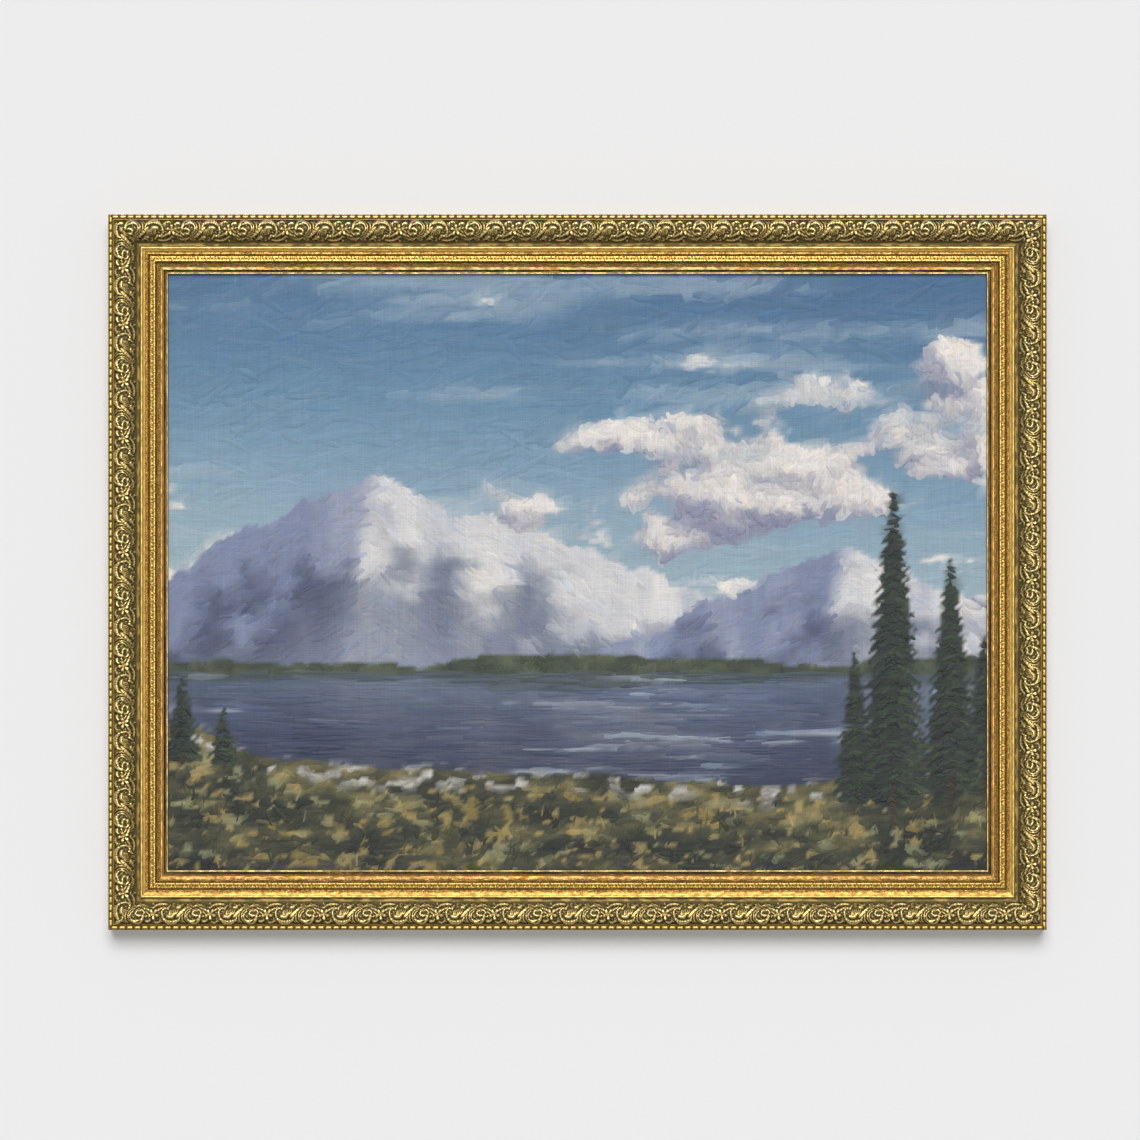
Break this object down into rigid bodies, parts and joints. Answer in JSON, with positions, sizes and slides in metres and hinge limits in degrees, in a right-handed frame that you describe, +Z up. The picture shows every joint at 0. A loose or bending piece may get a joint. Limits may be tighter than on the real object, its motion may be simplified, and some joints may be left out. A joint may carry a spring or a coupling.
{
  "type": "framed oil painting",
  "caption": "Landscape-format oil painting on stretched linen in an ornate carved and gilded frame with a gilt slip, hung by a saw-tooth hanger.",
  "frame": {"origin": "middle of the saw-tooth hanger's flat outer face, which touches the wall", "axes": "+X to the right as the painting is seen, +Z up, the painting faces -Y, so +Y points into the wall"},
  "size_m": [0.784, 0.0392, 0.598],
  "materials": {
    "gilt_moulding": "carved wood and gesso, gilded over an olive green ground, rubbed bright on the high relief and toned brown in the hollows, satin",
    "gilt_slip": "wood with warm gilding on a rounded face, dark brown toning in its groove, satin",
    "painted_linen": "oil paint in visible brush strokes on primed linen, satin varnish; bare raw linen behind",
    "stretcher_pine": "planed pine, unfinished",
    "key_beech": "sawn beech, unfinished",
    "zinc_steel": "stamped zinc-plated steel, slightly dull"
  },
  "bodies": {
    "root": {"frame_rail_top": "gilt_moulding", "frame_rail_right": "gilt_moulding", "frame_rail_bottom": "gilt_moulding", "frame_rail_left": "gilt_moulding", "slip_top": "gilt_slip", "slip_right": "gilt_slip", "slip_bottom": "gilt_slip", "slip_left": "gilt_slip", "canvas": "painted_linen", "stretcher_top": "stretcher_pine", "stretcher_right": "stretcher_pine", "stretcher_bottom": "stretcher_pine", "stretcher_left": "stretcher_pine", "key_top_a": "key_beech", "key_top_b": "key_beech", "key_right_a": "key_beech", "key_right_b": "key_beech", "key_bottom_a": "key_beech", "key_bottom_b": "key_beech", "key_left_a": "key_beech", "key_left_b": "key_beech", "clip_top_1": "zinc_steel", "clip_screw_top_1": "zinc_steel", "clip_top_2": "zinc_steel", "clip_screw_top_2": "zinc_steel", "clip_bottom_1": "zinc_steel", "clip_screw_bottom_1": "zinc_steel", "clip_bottom_2": "zinc_steel", "clip_screw_bottom_2": "zinc_steel", "hanger": "zinc_steel", "hanger_screw_left": "zinc_steel", "hanger_screw_right": "zinc_steel"}
  },
  "joints": []
}
